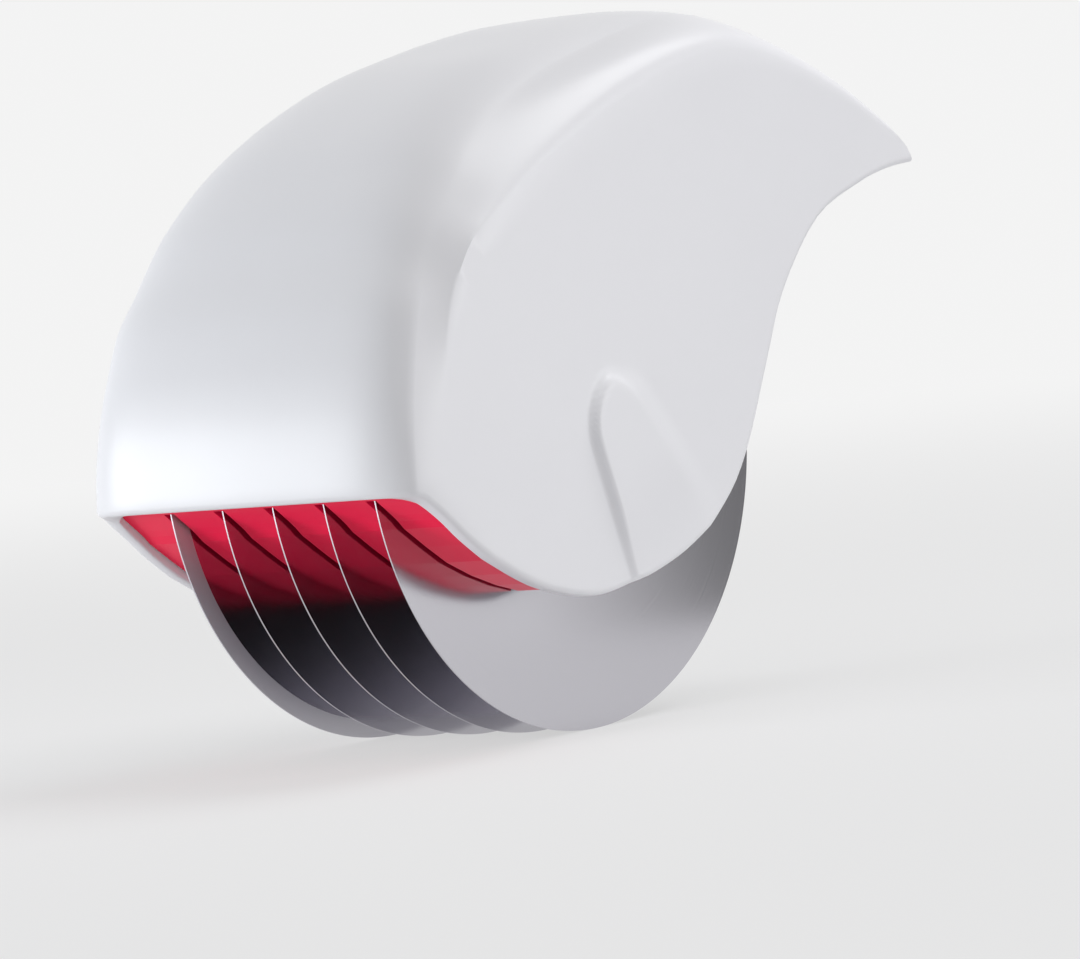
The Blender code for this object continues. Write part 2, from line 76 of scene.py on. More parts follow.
def place_camera():
    """Stands the camera where it sees the axle's centre at its place in the picture."""
    right, up, back = camera_axes()
    across = (AXLE_CENTRE_px[0] - 0.5 * PICTURE_WIDTH) / FOCAL_px * CAMERA_DISTANCE
    above = (0.5 * PICTURE_HEIGHT - AXLE_CENTRE_px[1]) / FOCAL_px * CAMERA_DISTANCE
    data = bpy.data.cameras.new("photo_camera")
    data.sensor_width = SENSOR_mm
    data.lens = FOCAL_px * data.sensor_width / PICTURE_WIDTH
    data.clip_start = 10.0 * MM
    camera = bpy.data.objects.new("photo_camera", data)
    bpy.context.scene.collection.objects.link(camera)
    place = Matrix((right, up, back)).transposed().to_4x4()
    place.translation = AXLE + back * CAMERA_DISTANCE - right * across - up * above
    camera.matrix_world = place
    bpy.context.scene.camera = camera


place_camera()

# Studio
# A plain pale floor under a pale room, lit by a soft lamp at each side and one overhead. The floor
# glows a little, so it lights the cutter from below, and it keeps the cutter's shadow. A graded
# grey card behind the cutter gives the polished steel something dark to mirror.
FLOOR_HALF = 3000.0 * MM
FLOOR_COLOUR = (0.70, 0.70, 0.71)
FLOOR_FADE_FROM = 150.0 * MM
FLOOR_FADE_TO = 900.0 * MM
FLOOR_WHITE = 0.63
FLOOR_GLOW = 0.25
BACKDROP_WHITE = 0.90
ROOM_FILL = 0.42
CARD_DARK, CARD_PALE = 0.22, 0.95
CARD_FADE = 33.0 * MM
CARD_WIDTH = 200.0 * MM
CARD_HEIGHT = 100.0 * MM
CARD_PLACE = (45.54 * MM, 160.10 * MM, 51.0 * MM)
CARD_TURN = math.radians(-39.3)

# Each lamp's name, its place and size in metres, its power in watts and its colour
LAMPS = (
    ("left_lamp", (-0.24, -0.27, 0.050), 0.16, 0.72, (0.93, 0.97, 1.0)),
    ("right_lamp", (1.11, 0.52, 0.24), 0.90, 5.0, (1.0, 1.0, 1.0)),
    ("top_lamp", (0.37, 0.52, 1.07), 0.80, 6.6, (1.0, 1.0, 1.0)),
)


def seen_or_mirrored(nodes, links):
    """1 for camera, glossy and transmission rays, else 0."""
    path = nodes.new("ShaderNodeLightPath")
    either = nodes.new("ShaderNodeMath")
    either.operation = "MAXIMUM"
    links.new(path.outputs["Is Camera Ray"], either.inputs[0])
    links.new(path.outputs["Is Glossy Ray"], either.inputs[1])
    any_of = nodes.new("ShaderNodeMath")
    any_of.operation = "MAXIMUM"
    links.new(either.outputs[0], any_of.inputs[0])
    links.new(path.outputs["Is Transmission Ray"], any_of.inputs[1])
    return any_of.outputs[0]


def white_room():
    """A world that looks white and is mirrored as white, and lights the cutter more dimly."""
    world = bpy.data.worlds.new("white_room")
    world.use_nodes = True
    nodes, links = world.node_tree.nodes, world.node_tree.links
    level = nodes.new("ShaderNodeMapRange")
    level.inputs["To Min"].default_value = ROOM_FILL
    level.inputs["To Max"].default_value = BACKDROP_WHITE
    links.new(seen_or_mirrored(nodes, links), level.inputs["Value"])
    room = nodes["Background"]
    room.inputs["Color"].default_value = (1.0, 1.0, 1.0, 1.0)
    links.new(level.outputs["Result"], room.inputs["Strength"])
    bpy.context.scene.world = world


def floor_finish():
    """Matt pale paint that turns into the white of the room with the distance from the cutter."""
    made = bpy.data.materials.new("pale_board")
    made.use_nodes = True
    nodes, links = made.node_tree.nodes, made.node_tree.links
    board = nodes["Principled BSDF"]
    board.inputs["Base Color"].default_value = (*FLOOR_COLOUR, 1.0)
    board.inputs["Specular IOR Level"].default_value = 0.0
    white = nodes.new("ShaderNodeEmission")
    white.inputs["Strength"].default_value = BACKDROP_WHITE
    place = nodes.new("ShaderNodeTexCoord")
    away = nodes.new("ShaderNodeVectorMath")
    away.operation = "LENGTH"
    links.new(place.outputs["Object"], away.inputs[0])
    fade = nodes.new("ShaderNodeMapRange")
    fade.interpolation_type = "SMOOTHSTEP"
    fade.inputs["From Min"].default_value = FLOOR_FADE_FROM
    fade.inputs["From Max"].default_value = FLOOR_FADE_TO
    fade.inputs["To Min"].default_value = FLOOR_WHITE
    links.new(away.outputs["Value"], fade.inputs["Value"])
    share = nodes.new("ShaderNodeMix")
    share.inputs["A"].default_value = FLOOR_GLOW
    links.new(seen_or_mirrored(nodes, links), share.inputs["Factor"])
    links.new(fade.outputs["Result"], share.inputs["B"])
    mixed = nodes.new("ShaderNodeMixShader")
    links.new(share.outputs["Result"], mixed.inputs["Fac"])
    links.new(board.outputs["BSDF"], mixed.inputs[1])
    links.new(white.outputs["Emission"], mixed.inputs[2])
    links.new(mixed.outputs["Shader"], nodes["Material Output"].inputs["Surface"])
    return made


def pale_floor():
    """One large flat sheet under the cutter."""
    bm = bmesh.new()
    bmesh.ops.create_grid(bm, x_segments=1, y_segments=1, size=FLOOR_HALF)
    mesh = bpy.data.meshes.new("floor")
    bm.to_mesh(mesh)
    bm.free()
    mesh.materials.append(floor_finish())
    floor = bpy.data.objects.new("floor", mesh)
    bpy.context.scene.collection.objects.link(floor)


def soft_lamp(name, place, size, power, colour):
    """A round area lamp that points at the axle."""
    data = bpy.data.lights.new(name, "AREA")
    data.shape = "DISK"
    data.size = size
    data.energy = power
    data.color = colour
    lamp = bpy.data.objects.new(name, data)
    bpy.context.scene.collection.objects.link(lamp)
    lamp.visible_camera = False
    lamp.location = place
    lamp.rotation_euler = (AXLE - Vector(place)).to_track_quat("-Z", "Y").to_euler()


def grey_card():
    """A card low behind the cutter, graded from pale to dark, seen only where it is mirrored."""
    made = bpy.data.materials.new("grey_card")
    made.use_nodes = True
    nodes, links = made.node_tree.nodes, made.node_tree.links
    nodes.clear()
    place = nodes.new("ShaderNodeTexCoord")
    along = nodes.new("ShaderNodeVectorMath")
    along.operation = "DOT_PRODUCT"
    along.inputs[1].default_value = (math.cos(CARD_TURN), math.sin(CARD_TURN), 0.0)
    links.new(place.outputs["Object"], along.inputs[0])
    fade = nodes.new("ShaderNodeMapRange")
    fade.inputs["From Min"].default_value = 0.0
    fade.inputs["From Max"].default_value = CARD_FADE
    fade.inputs["To Min"].default_value = CARD_DARK
    fade.inputs["To Max"].default_value = CARD_PALE
    links.new(along.outputs["Value"], fade.inputs["Value"])
    light = nodes.new("ShaderNodeEmission")
    links.new(fade.outputs["Result"], light.inputs["Strength"])
    out = nodes.new("ShaderNodeOutputMaterial")
    links.new(light.outputs["Emission"], out.inputs["Surface"])
    bm = bmesh.new()
    bmesh.ops.create_grid(bm, x_segments=1, y_segments=1, size=0.5)
    bmesh.ops.scale(bm, vec=(CARD_WIDTH, CARD_HEIGHT, 1.0), verts=bm.verts)
    bmesh.ops.rotate(bm, matrix=Matrix.Rotation(0.5 * math.pi, 3, "X"), verts=bm.verts)
    bmesh.ops.rotate(bm, matrix=Matrix.Rotation(CARD_TURN, 3, "Z"), verts=bm.verts)
    bmesh.ops.translate(bm, vec=CARD_PLACE, verts=bm.verts)
    mesh = bpy.data.meshes.new("grey_card")
    bm.to_mesh(mesh)
    bm.free()
    mesh.materials.append(made)
    card = bpy.data.objects.new("grey_card", mesh)
    card.visible_camera = False
    card.visible_diffuse = False
    card.visible_shadow = False
    bpy.context.scene.collection.objects.link(card)


white_room()
pale_floor()
grey_card()
for lamp_values in LAMPS:
    soft_lamp(*lamp_values)
bpy.context.scene.view_settings.view_transform = "Standard"

# Hood shell
# The grip that the palm presses on: one injection-moulded shell of glossy white plastic, open
# underneath, with a raised middle, a rounded fold down each side, flat cheeks and a long beak. The
# blade unit snaps into a channel behind each cheek, which stands out as a pad.
hood_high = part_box("hood_shell")[1]
WALL = 2.2 * MM
PAD_RISE = 1.2 * MM
HALF_WIDTH = hood_high.x - PAD_RISE
LIP_RADIUS = 0.75 * MM
LIP_SEGMENTS = 4
INNER_LIP_RADIUS = 0.3 * MM
INNER_LIP_SEGMENTS = 2
HOOD_SHARP_FROM = math.radians(50.0)
TOUCHING = 0.001 * MM

# The strip along each cheek's free edge in which the lip is rounded, and its most as a share of
# the cheek
LIP_BAND = 1.1 * MM
MOST_BAND = 0.6

# The fold's least width, how steep a fold without a ridge is, and how square the beak's crown is
LEAST_FOLD = 0.6 * MM
STEEP_FOLD = 2.1
BEAK_POWER = 2.8
LEAST_POWER = 2.0

# The way, in y and z, that the wall's thickness is measured at the beak's end, and in how many rows
# it turns to that
BEAK_END = Vector((0.975, 0.22))
BEAK_END_ROWS = 7

STEPS_PER_ROW = 4
SPINE_STEPS = 14
SPINE_CROWDING = 1.5
FOLD_STEPS = 10
BEND_FINENESS = 60
CHEEK_STEPS = 15

# Each row, in mm from the axle's centre: the shoulder's y and z, the free edge's y and z, the rise
# of the crest, the fold's width and rise. Then shares: how far the fold stands up as a ridge, how
# steeply the middle falls into the valley beside it, and how far both fade into one smooth crown.
HOOD_ROWS_mm = (
    (-38.1, -4.4, -30.2, -14.1, 7.5, 0.8, 5.1, 0.0, 0.85, 0.0),
    (-37.9, 0.3, -27.5, -15.6, 7.45, 1.0, 4.8, 0.0, 1.0, 0.0),
    (-36.9, 5.0, -24.7, -17.1, 7.8, 1.35, 4.9, 0.0, 1.2, 0.0),
    (-35.2, 10.8, -21.2, -18.7, 8.0, 1.8, 4.8, 0.0, 1.2, 0.0),
    (-33.4, 17.5, -17.1, -20.0, 7.2, 2.5, 4.0, 0.1, 1.15, 0.0),
    (-30.9, 22.6, -12.6, -21.05, 6.1, 3.4, 2.9, 0.3, 1.0, 0.0),
    (-26.6, 27.5, -8.2, -21.4, 7.3, 4.1, 3.5, 0.5, 0.9, 0.0),
    (-19.4, 31.3, -2.4, -20.7, 9.9, 5.1, 5.75, 0.6, 0.75, 0.0),
    (-10.8, 35.7, 4.4, -19.3, 10.7, 6.7, 6.9, 0.7, 0.65, 0.0),
    (-0.7, 40.1, 11.4, -17.0, 10.35, 7.8, 6.9, 0.8, 0.6, 0.0),
    (9.2, 43.6, 19.6, -12.7, 9.0, 8.4, 6.1, 0.9, 0.6, 0.15),
    (20.6, 46.9, 25.8, -6.1, 7.75, 8.8, 4.4, 1.0, 0.7, 0.55),
    (31.5, 48.2, 32.5, 5.5, 7.1, 8.8, 3.2, 1.0, 0.9, 1.0),
    (42.5, 46.2, 38.0, 14.8, 5.7, 8.8, 2.6, 1.0, 0.9, 1.0),
    (55.3, 41.2, 47.4, 23.9, 4.4, 8.8, 2.1, 1.0, 0.9, 1.0),
    (65.2, 35.7, 58.1, 28.0, 3.0, 8.8, 1.2, 1.0, 0.9, 1.0),
    (67.9, 34.0, 65.3, 29.6, 2.1, 8.8, 0.9, 1.0, 0.9, 1.0),
    (69.9, 32.2, 71.1, 30.1, 1.1, 8.8, 0.5, 1.0, 0.9, 1.0),
)

# The line, in mm from the axle's centre, that ends the front and curves down along each cheek
FRONT_EDGE_mm = (
    (-49.0, -4.4),
    (-46.0, -4.4),
    (-43.8, -4.4),
    (-42.2, -4.75),
    (-40.6, -5.95),
    (-39.0, -7.2),
    (-37.1, -8.75),
    (-34.6, -10.9),
    (-30.2, -14.1),
    (-27.0, -16.0),
)
FRONT_EDGE_STEPS = 6


def smooth_rows(rows, steps):
    """Rows on a smooth curve through the given rows, with each row's change along the curve."""
    knots = [Vector(row) for row in rows]
    knots = [knots[0], *knots, knots[-1]]
    sampled = []
    for span in range(len(rows) - 1):
        before, start, end, after = knots[span : span + 4]
        leave, arrive = 0.5 * (end - before), 0.5 * (after - start)
        for step in range(steps + (span == len(rows) - 2)):
            t = step / steps
            value = start * (2 * t**3 - 3 * t**2 + 1) + leave * (t**3 - 2 * t**2 + t)
            value += end * (3 * t**2 - 2 * t**3) + arrive * (t**3 - t**2)
            slope = start * (6 * t**2 - 6 * t) + leave * (3 * t**2 - 4 * t + 1)
            slope += end * (6 * t - 6 * t**2) + arrive * (3 * t**2 - 2 * t)
            sampled.append((value, slope))
    return sampled


def smooth_step(value):
    """Eases a share from 0 to 1."""
    value = min(1.0, max(0.0, value))
    return value * value * (3.0 - 2.0 * value)


FRONT_EDGE = [value * MM for value, _ in smooth_rows(FRONT_EDGE_mm, FRONT_EDGE_STEPS)]


def front_edge_height(y):
    """How high the front's lower edge lies at one place along the cutter, from the axle."""
    for low, high in zip(FRONT_EDGE, FRONT_EDGE[1:]):
        if y <= high.x:
            share = (y - low.x) / (high.x - low.x)
            return low.y + (high.y - low.y) * share
    return FRONT_EDGE[-1].y


def evenly(fine, steps):
    """Evenly spaced points along a finely divided line."""
    runs = [0.0]
    for first, second in zip(fine, fine[1:]):
        runs.append(runs[-1] + (second - first).length)
    points = [fine[0]]
    for step in range(1, steps):
        wanted = runs[-1] * step / steps
        index = max(i for i, run in enumerate(runs[:-1]) if run <= wanted)
        share = (wanted - runs[index]) / (runs[index + 1] - runs[index])
        points.append(fine[index].lerp(fine[index + 1], share))
    return [*points, fine[-1]]


def crown_height(share, crest):
    """The height of one smooth crown at a share of the half width."""
    return crest * math.sqrt(max(0.0, 1.0 - share**BEAK_POWER))


def hood_section(row, inset):
    """The skin over the shoulders at one row: (x, height above the shoulder), middle outwards."""
    crest, fold, rise = (value * MM for value in row[4:7])
    ridge, slope, faded = row[7:10]
    half = HALF_WIDTH - inset
    fold = max(fold - inset, LEAST_FOLD)
    rise = min(rise, crest)
    valley = half - fold
    power = max(LEAST_POWER, slope * valley / max(crest - rise, MM))
    section = []
    for step in range(SPINE_STEPS):
        x = valley * (1.0 - (1.0 - step / SPINE_STEPS) ** SPINE_CROWDING)
        height = rise + (crest - rise) * (1.0 - (x / valley) ** power)
        section.append((x, height + (crown_height(x / half, crest) - height) * faded))
    corner = max(rise - STEEP_FOLD * (1.0 - ridge) * fold, 0.0)
    fine_bend, fine_crown = [], []
    for step in range(BEND_FINENESS + 1):
        t = step / BEND_FINENESS
        bend = Vector((valley, rise)) * (1.0 - t) ** 2
        bend += Vector((half, corner)) * (2.0 * t * (1.0 - t)) + Vector((half, 0.0)) * t**2
        fine_bend.append(bend)
        x = valley + fold * math.sin(0.5 * math.pi * t)
        fine_crown.append(Vector((x, crown_height(x / half, crest))))
    for bend, crown in zip(evenly(fine_bend, FOLD_STEPS), evenly(fine_crown, FOLD_STEPS)):
        point = bend.lerp(crown, faded)
        section.append((point.x, point.y))
    return section


def hood_chain(row, slope, index, last, inset):
    """Points across the hood at one row, from the left free edge over the top to the right one."""
    shoulder, edge = Vector(row[0:2]) * MM, Vector(row[2:4]) * MM
    along = Vector(slope[0:2]).normalized()
    normal = Vector((-along.y, along.x))
    to_end = smooth_step(1.0 - (last - index) / BEAK_END_ROWS)
    inwards = normal.lerp(BEAK_END, to_end).normalized() * inset
    base = shoulder - inwards
    half = [(x, base + normal * height) for x, height in hood_section(row, inset)]
    drop = edge - base
    lean = abs(drop.normalized().cross(Vector(slope[2:4]).normalized()))
    band = min(LIP_BAND / (drop.length * lean), MOST_BAND)
    for step in range(1, CHEEK_STEPS + 1):
        half.append((HALF_WIDTH - inset, base + drop * ((1.0 - band) * step / CHEEK_STEPS)))
    half.append((HALF_WIDTH - inset, edge))
    if index == 0:
        half = [(x, Vector((point.x, front_edge_height(point.x)))) for x, point in half]
    chain = [(-x, point) for x, point in reversed(half[1:])] + half
    return [Vector((x, AXLE.y + point.x, AXLE.z + point.y)) for x, point in chain]


def hood_mesh():
    """Closed rows round the outer and inner skin, bridged to each other and shut at both ends."""
    bm = bmesh.new()
    rows = smooth_rows(HOOD_ROWS_mm, STEPS_PER_ROW)
    # The rows next to both ends are left out, which gives the rounded lips their room.
    rows = [rows[0], *rows[2:-2], rows[-1]]
    rings, outer_rim, inner_rim = [], set(), set()
    for index, (row, slope) in enumerate(rows):
        outer = hood_chain(row, slope, index, len(rows) - 1, 0.0)
        inner = hood_chain(row, slope, index, len(rows) - 1, WALL)
        outer = [bm.verts.new(point) for point in outer]
        inner = [bm.verts.new(point) for point in reversed(inner)]
        ring = outer + inner
        rings.append([bm.edges.new(pair) for pair in zip(ring, ring[1:] + ring[:1])])
        outer_rim.update(outer if index == 0 else (outer[0], outer[-1]))
        if index == len(rows) - 1:
            outer_rim.update(vert for vert in outer if abs(vert.co.x) < HALF_WIDTH - TOUCHING)
        inner_rim.update(inner if index in (0, len(rows) - 1) else (inner[0], inner[-1]))
    for ring, following in zip(rings, rings[1:]):
        bmesh.ops.bridge_loops(bm, edges=ring + following)
    across = len(outer) - 1
    for ring in (rings[0], rings[-1]):
        bmesh.ops.bridge_loops(bm, edges=ring[:across] + ring[across + 1 : -1])
    for rim, radius, segments in (
        (inner_rim, INNER_LIP_RADIUS, INNER_LIP_SEGMENTS),
        (outer_rim, LIP_RADIUS, LIP_SEGMENTS),
    ):
        edges = [e for e in bm.edges if e.verts[0] in rim and e.verts[1] in rim]
        bmesh.ops.bevel(
            bm,
            geom=edges,
            offset=radius,
            segments=segments,
            profile=0.5,
            affect="EDGES",
            material=-1,
        )
    bmesh.ops.recalc_face_normals(bm, faces=bm.faces)
    return bm


# The channel is a funnel with a round head about the axle and its mouth at the cheek's lower edge.
CHANNEL_ANGLE = math.radians(-63.5)
CHANNEL_REACH = 19.0 * MM
PAD_HEAD = 8.1 * MM
PAD_MOUTH = 11.6 * MM
PAD_SOFT_FROM = -0.5 * MM
PAD_SOFT_WIDTH = 4.86 * MM
PAD_FRONT_SLOPE = 1.15 * MM
PAD_BACK_SLOPE = 5.5 * MM
PAD_FADE_FROM = 6.0 * MM
PAD_MOUTH_RISE = 0.4
CHANNEL_HEAD = 4.8 * MM
CHANNEL_MOUTH = 8.3 * MM
CHANNEL_DEPTH = 2.0 * MM
CHANNEL_SLOPE = 1.0 * MM
CHANNEL_SKIN = 0.9 * MM
PAD_REFINE = 3.2 * MM
PAD_CUTS = 4


def channel_place(point):
    """How far a point lies along and beside the channel's middle line, from the axle."""
    side = Vector((point.y - AXLE.y, point.z - AXLE.z))
    along = Vector((math.cos(CHANNEL_ANGLE), math.sin(CHANNEL_ANGLE)))
    return side.dot(along), side.dot(Vector((-along.y, along.x)))


def depth_inside(run, aside, head, mouth):
    """How far a place lies inside a funnel with a round head about the axle; negative outside."""
    flare = math.atan((mouth - head) / CHANNEL_REACH)
    if run * math.cos(flare) + abs(aside) * math.sin(flare) < 0.0:
        return head - math.hypot(run, aside)
    return head - (abs(aside) * math.cos(flare) - run * math.sin(flare))


def pad_height(point):
    """How far the pad stands out of the cheek; its front flank is steep and its back one soft."""
    run, aside = channel_place(point)
    inside = depth_inside(run, aside, PAD_HEAD, PAD_MOUTH)
    soft = smooth_step((aside - PAD_SOFT_FROM) / PAD_SOFT_WIDTH)
    slope = PAD_FRONT_SLOPE + (PAD_BACK_SLOPE - PAD_FRONT_SLOPE) * soft
    fade = smooth_step((run - PAD_FADE_FROM) / (CHANNEL_REACH - PAD_FADE_FROM))
    rise = PAD_RISE * (1.0 - (1.0 - PAD_MOUTH_RISE) * fade)
    return rise * smooth_step(inside / slope)


def channel_depth(point):
    """How deep the axle channel is cut into the cheek's inner face."""
    run, aside = channel_place(point)
    inside = depth_inside(run, aside, CHANNEL_HEAD, CHANNEL_MOUTH)
    most = min(CHANNEL_DEPTH, WALL + pad_height(point) - CHANNEL_SKIN)
    return most * smooth_step(1.0 + inside / CHANNEL_SLOPE)


def raise_pads(bm):
    """Divides the cheeks finely round the channels, then moves them out into pads and channels."""
    inside_x = HALF_WIDTH - WALL
    for level, head, mouth in (
        (HALF_WIDTH, PAD_HEAD, PAD_MOUTH),
        (inside_x, CHANNEL_HEAD, CHANNEL_MOUTH),
    ):
        edges = set()
        for face in bm.faces:
            if all(abs(abs(vert.co.x) - level) < TOUCHING for vert in face.verts):
                run, aside = channel_place(face.calc_center_median())
                reach = PAD_REFINE if aside <= 0.0 else 2.0 * PAD_REFINE
                if abs(depth_inside(run, aside, head, mouth)) < reach:
                    edges.update(face.edges)
        bmesh.ops.subdivide_edges(bm, edges=list(edges), cuts=PAD_CUTS, use_grid_fill=True)
    for vert in bm.verts:
        side = math.copysign(1.0, vert.co.x)
        share = smooth_step((abs(vert.co.x) - inside_x) / WALL)
        if abs(vert.co.x) > inside_x - TOUCHING:
            outwards = channel_depth(vert.co) * (1.0 - share) + pad_height(vert.co) * share
            vert.co.x += side * outwards


hood_bm = hood_mesh()
raise_pads(hood_bm)

# The plastic's texture: a fine peel, and soft patches in which gloss and colour differ a little
PEEL_DETAIL = 2.0
PEEL_HEIGHT = 0.02 * MM
PATCH_SCALE, PATCH_DETAIL = 45.0, 4.0
TONE_SCALE, TONE_DETAIL = 30.0, 3.0
UNEVEN_SHARE = 0.3


def shared_grain():
    """Fine moulding texture: a faint orange peel, and gloss that is uneven in soft patches."""
    group = bpy.data.node_groups.new("moulded_grain", "ShaderNodeTree")
    for name in ("Gloss", "Uneven", "Relief", "Scale"):
        group.interface.new_socket(name, in_out="INPUT", socket_type="NodeSocketFloat")
    group.interface.new_socket("Roughness", in_out="OUTPUT", socket_type="NodeSocketFloat")
    group.interface.new_socket("Normal", in_out="OUTPUT", socket_type="NodeSocketVector")
    nodes, links = group.nodes, group.links
    given = nodes.new("NodeGroupInput")
    result = nodes.new("NodeGroupOutput")
    place = nodes.new("ShaderNodeTexCoord")
    peel = nodes.new("ShaderNodeTexNoise")
    peel.inputs["Detail"].default_value = PEEL_DETAIL
    links.new(place.outputs["Object"], peel.inputs["Vector"])
    links.new(given.outputs["Scale"], peel.inputs["Scale"])
    patch = nodes.new("ShaderNodeTexNoise")
    patch.inputs["Scale"].default_value = PATCH_SCALE
    patch.inputs["Detail"].default_value = PATCH_DETAIL
    links.new(place.outputs["Object"], patch.inputs["Vector"])
    centred = nodes.new("ShaderNodeMath")
    centred.operation = "SUBTRACT"
    centred.inputs[1].default_value = 0.5
    links.new(patch.outputs["Fac"], centred.inputs[0])
    uneven = nodes.new("ShaderNodeMath")
    uneven.operation = "MULTIPLY_ADD"
    links.new(centred.outputs[0], uneven.inputs[0])
    links.new(given.outputs["Uneven"], uneven.inputs[1])
    links.new(given.outputs["Gloss"], uneven.inputs[2])
    bump = nodes.new("ShaderNodeBump")
    bump.inputs["Distance"].default_value = PEEL_HEIGHT
    links.new(given.outputs["Relief"], bump.inputs["Strength"])
    links.new(peel.outputs["Fac"], bump.inputs["Height"])
    links.new(uneven.outputs[0], result.inputs["Roughness"])
    links.new(bump.outputs["Normal"], result.inputs["Normal"])
    return group


MOULDED_GRAIN = shared_grain()


def moulded_plastic(name, colour, deeper, gloss, mirror, relief, scale):
    """Injection-moulded plastic whose colour runs a touch deeper in soft patches."""
    made = bpy.data.materials.new(name)
    made.use_nodes = True
    nodes, links = made.node_tree.nodes, made.node_tree.links
    shader = nodes["Principled BSDF"]
    place = nodes.new("ShaderNodeTexCoord")
    patch = nodes.new("ShaderNodeTexNoise")
    patch.inputs["Scale"].default_value = TONE_SCALE
    patch.inputs["Detail"].default_value = TONE_DETAIL
    links.new(place.outputs["Object"], patch.inputs["Vector"])
    tone = nodes.new("ShaderNodeMix")
    tone.data_type = "RGBA"
    tone.inputs["A"].default_value = (*colour, 1.0)
    tone.inputs["B"].default_value = (*deeper, 1.0)
    links.new(patch.outputs["Fac"], tone.inputs["Factor"])
    links.new(tone.outputs["Result"], shader.inputs["Base Color"])
    grain = nodes.new("ShaderNodeGroup")
    grain.node_tree = MOULDED_GRAIN
    grain.inputs["Gloss"].default_value = gloss
    grain.inputs["Uneven"].default_value = UNEVEN_SHARE * gloss
    grain.inputs["Relief"].default_value = relief
    grain.inputs["Scale"].default_value = scale
    links.new(grain.outputs["Roughness"], shader.inputs["Roughness"])
    links.new(grain.outputs["Normal"], shader.inputs["Normal"])
    shader.inputs["Specular IOR Level"].default_value = mirror
    return made


def finished_piece(name, bm, finish, sharp_from):
    """Turns a bmesh into a smooth-shaded object whose edges stay sharp from an angle upwards."""
    mesh = bpy.data.meshes.new(name)
    bm.to_mesh(mesh)
    bm.free()
    mesh.shade_smooth()
    mesh.set_sharp_from_angle(angle=sharp_from)
    mesh.materials.append(finish)
    piece = bpy.data.objects.new(name, mesh)
    bpy.context.scene.collection.objects.link(piece)
    return piece


WHITE_PLASTIC = moulded_plastic(
    "white_moulded_plastic",
    colour=(0.80, 0.80, 0.83),
    deeper=(0.77, 0.77, 0.80),
    gloss=0.34,
    mirror=0.38,
    relief=0.12,
    scale=700.0,
)
hood = finished_piece("hood", hood_bm, WHITE_PLASTIC, HOOD_SHARP_FROM)
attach(hood, "housing")
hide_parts("hood_shell")

# Comb
# A curved slotted plate, moulded in glossy red plastic, that snaps into the hood on two pegs. Its
# teeth lie between the blades and wipe off what sticks to them.
RED_PLASTIC = moulded_plastic(
    "red_moulded_plastic",
    colour=(0.97, 0.007, 0.070),
    deeper=(0.93, 0.005, 0.062),
    gloss=0.30,
    mirror=0.18,
    relief=0.12,
    scale=700.0,
)


def dress(start, finish):
    """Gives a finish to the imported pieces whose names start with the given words."""
    for node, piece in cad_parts.items():
        if node.startswith(start):
            piece.data.materials.clear()
            piece.data.materials.append(finish)


dress("stripper_comb", RED_PLASTIC)

# Blades
# Five discs stamped from thin stainless sheet and polished, with a narrow rim ground on one side.
# They are threaded on the square axle with a spacer between each two, and turn with it.
BLADE_COUNT = 5
BLADE_STEPS = 240
BLADE_SHARP_FROM = math.radians(3.0)
GRIND_WIDTH = 2.4 * MM
EDGE_THICKNESS = 0.2 * MM
BLADE_HOLE_RADIUS = 4.7 * MM

# The steel's colour and gloss, how much duller the ground rim is and which slant counts as ground,
# and the rings that polishing leaves
STEEL_COLOUR = (0.60, 0.59, 0.63)
STEEL_GLOSS_FROM, STEEL_GLOSS_TO = 0.13, 0.18
GROUND_DULLER = 0.34
GROUND_BELOW = 0.995
RING_SCALE, RING_DETAIL = 2500.0, 3.0
RING_RELIEF = 0.02
RING_HEIGHT = 0.01 * MM


def turned(name, outline, finish):
    """Spins a closed outline of (x, radius) corners about the axle line."""
    bm = bmesh.new()
    verts = [bm.verts.new((x, AXLE.y, AXLE.z + radius)) for x, radius in outline]
    edges = [bm.edges.new(pair) for pair in zip(verts, verts[1:] + verts[:1])]
    bmesh.ops.spin(
        bm,
        geom=verts + edges,
        cent=AXLE,
        axis=(1.0, 0.0, 0.0),
        angle=math.tau,
        steps=BLADE_STEPS,
        use_merge=True,
    )
    bmesh.ops.recalc_face_normals(bm, faces=bm.faces)
    return finished_piece(name, bm, finish, BLADE_SHARP_FROM)


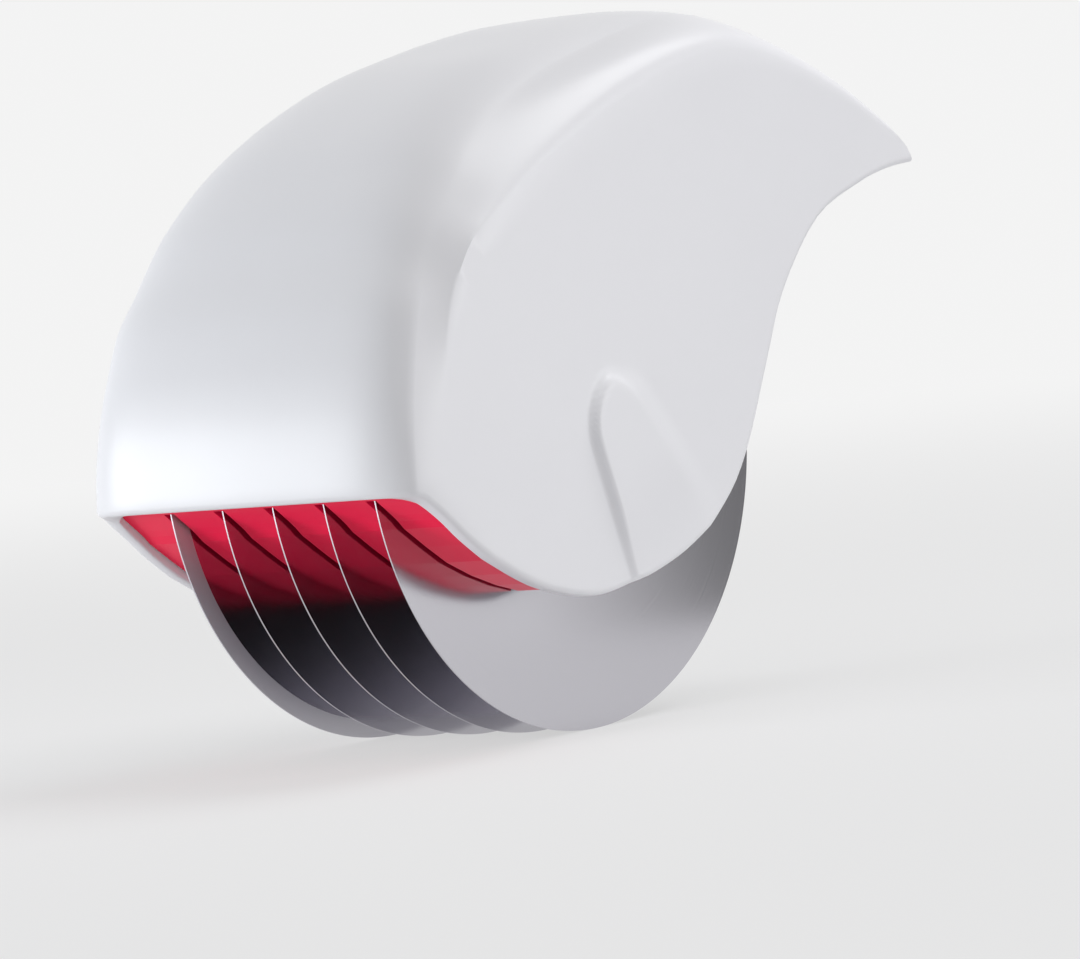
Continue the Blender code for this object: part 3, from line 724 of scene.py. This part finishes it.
def polished_steel():
    """Polished stainless sheet with a faint circular grain, duller where it is ground."""
    made = bpy.data.materials.new("polished_stainless_steel")
    made.use_nodes = True
    nodes, links = made.node_tree.nodes, made.node_tree.links
    shader = nodes["Principled BSDF"]
    shader.inputs["Base Color"].default_value = (*STEEL_COLOUR, 1.0)
    shader.inputs["Metallic"].default_value = 1.0
    place = nodes.new("ShaderNodeTexCoord")
    centre = nodes.new("ShaderNodeMapping")
    centre.inputs["Location"].default_value = (0.0, -AXLE.y, -AXLE.z)
    links.new(place.outputs["Object"], centre.inputs["Vector"])
    flat = nodes.new("ShaderNodeVectorMath")
    flat.operation = "MULTIPLY"
    flat.inputs[1].default_value = (0.0, 1.0, 1.0)
    links.new(centre.outputs["Vector"], flat.inputs[0])
    away = nodes.new("ShaderNodeVectorMath")
    away.operation = "LENGTH"
    links.new(flat.outputs["Vector"], away.inputs[0])
    rings = nodes.new("ShaderNodeTexNoise")
    rings.noise_dimensions = "1D"
    rings.inputs["Scale"].default_value = RING_SCALE
    rings.inputs["Detail"].default_value = RING_DETAIL
    links.new(away.outputs["Value"], rings.inputs["W"])
    gloss = nodes.new("ShaderNodeMapRange")
    gloss.inputs["To Min"].default_value = STEEL_GLOSS_FROM
    gloss.inputs["To Max"].default_value = STEEL_GLOSS_TO
    links.new(rings.outputs["Fac"], gloss.inputs["Value"])
    facing = nodes.new("ShaderNodeNewGeometry")
    across = nodes.new("ShaderNodeSeparateXYZ")
    links.new(facing.outputs["True Normal"], across.inputs["Vector"])
    flatness = nodes.new("ShaderNodeMath")
    flatness.operation = "ABSOLUTE"
    links.new(across.outputs["X"], flatness.inputs[0])
    ground = nodes.new("ShaderNodeMath")
    ground.operation = "LESS_THAN"
    ground.inputs[1].default_value = GROUND_BELOW
    links.new(flatness.outputs[0], ground.inputs[0])
    dull = nodes.new("ShaderNodeMath")
    dull.operation = "MULTIPLY_ADD"
    dull.inputs[1].default_value = GROUND_DULLER
    links.new(ground.outputs[0], dull.inputs[0])
    links.new(gloss.outputs["Result"], dull.inputs[2])
    links.new(dull.outputs[0], shader.inputs["Roughness"])
    bump = nodes.new("ShaderNodeBump")
    bump.inputs["Strength"].default_value = RING_RELIEF
    bump.inputs["Distance"].default_value = RING_HEIGHT
    links.new(rings.outputs["Fac"], bump.inputs["Height"])
    links.new(bump.outputs["Normal"], shader.inputs["Normal"])
    return made


POLISHED_STEEL = polished_steel()


def disc_blade(number):
    """One disc between the CAD disc's faces; only the first is ground on its right side."""
    node = f"disc_blade_{number}"
    low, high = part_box(node)
    radius = 0.5 * (high.z - low.z)
    flat, ground, inwards = (low.x, high.x, 1.0) if number == 1 else (high.x, low.x, -1.0)
    outline = [
        (flat, BLADE_HOLE_RADIUS),
        (flat, radius),
        (flat + inwards * EDGE_THICKNESS, radius),
        (ground, radius - GRIND_WIDTH),
        (ground, BLADE_HOLE_RADIUS),
    ]
    blade = turned(f"blade_{number}", outline, POLISHED_STEEL)
    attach(blade, "blade_pack")
    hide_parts(node)


for blade_number in range(1, BLADE_COUNT + 1):
    disc_blade(blade_number)

# Axle, spacers and end collars
# The core of the blade unit, moulded in off-white bearing plastic: a square axle with round ends,
# waisted rollers that keep the blades apart, and a collar outside the first and the last blade.
BEARING_PLASTIC = moulded_plastic(
    "natural_bearing_plastic",
    colour=(0.74, 0.74, 0.71),
    deeper=(0.70, 0.70, 0.67),
    gloss=0.42,
    mirror=0.50,
    relief=0.20,
    scale=900.0,
)
dress(("axle", "spacer", "end_collar"), BEARING_PLASTIC)

# Push rings
# Slit rings of spring steel, pushed on both ends of the axle. They clamp blades, spacers and
# collars together.
dress("push_ring", POLISHED_STEEL)

# Bearing bushes
# The same bearing plastic: a bush on each end of the axle, in which it turns. The bushes snap into
# the channels behind the hood's cheeks.
dress("bearing_bush", BEARING_PLASTIC)
